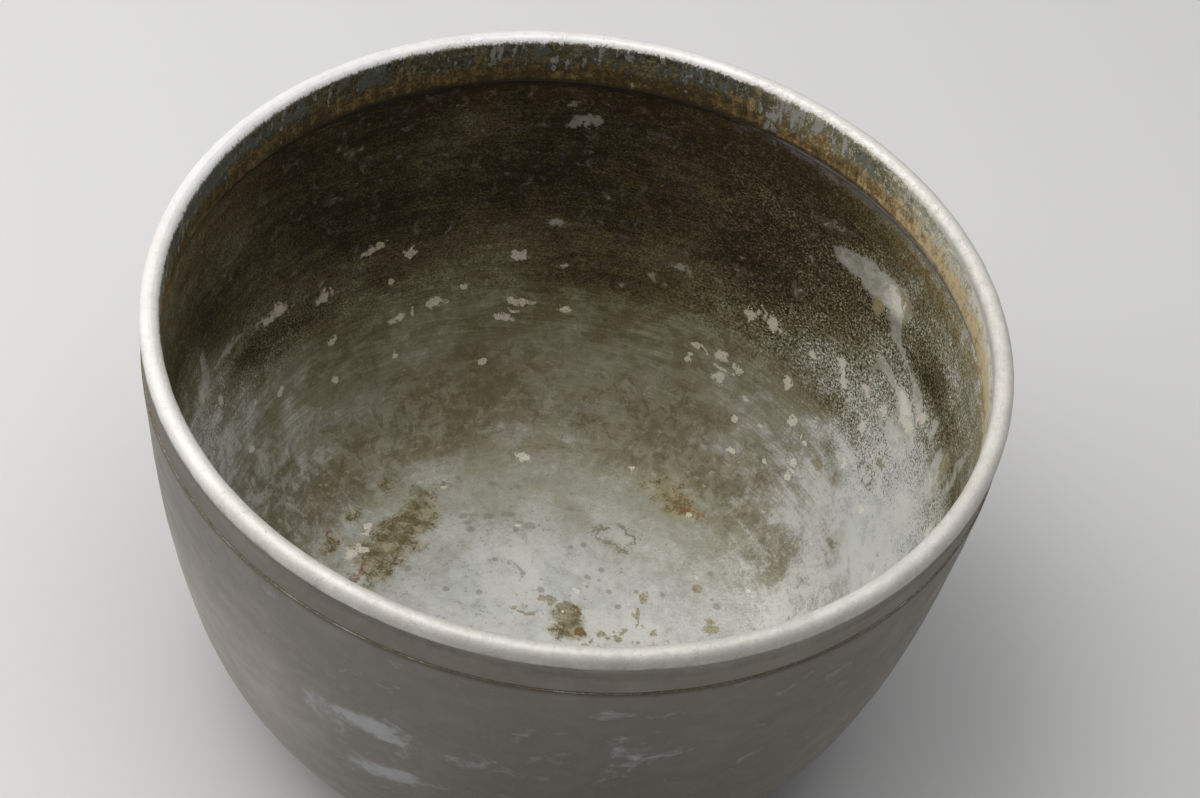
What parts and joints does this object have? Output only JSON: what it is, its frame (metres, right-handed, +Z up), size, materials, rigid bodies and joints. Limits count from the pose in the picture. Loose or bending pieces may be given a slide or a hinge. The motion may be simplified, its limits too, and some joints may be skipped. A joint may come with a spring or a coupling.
{
  "type": "waste water bowl",
  "caption": "Deep round metal bowl for rinse water at a tea gathering, with a full curved wall, a flat base and a thick half-round rim soldered on.",
  "frame": {"origin": "centre of the flat base, on the surface that the bowl stands on", "axes": "+Z up along the bowl's axis, towards the mouth"},
  "size_m": [0.15, 0.15, 0.09],
  "materials": {
    "shell_tin": "old tin, dull grey with brown and black water stains inside, satin brown-grey outside",
    "rim_tin": "old tin, worn bright along the lip, stained olive and ochre in the band below it",
    "solder": "dull purple-grey soft solder"
  },
  "bodies": {
    "root": {"bowl_shell": "shell_tin", "rim_ring": "rim_tin", "rim_solder": "solder"}
  },
  "joints": []
}
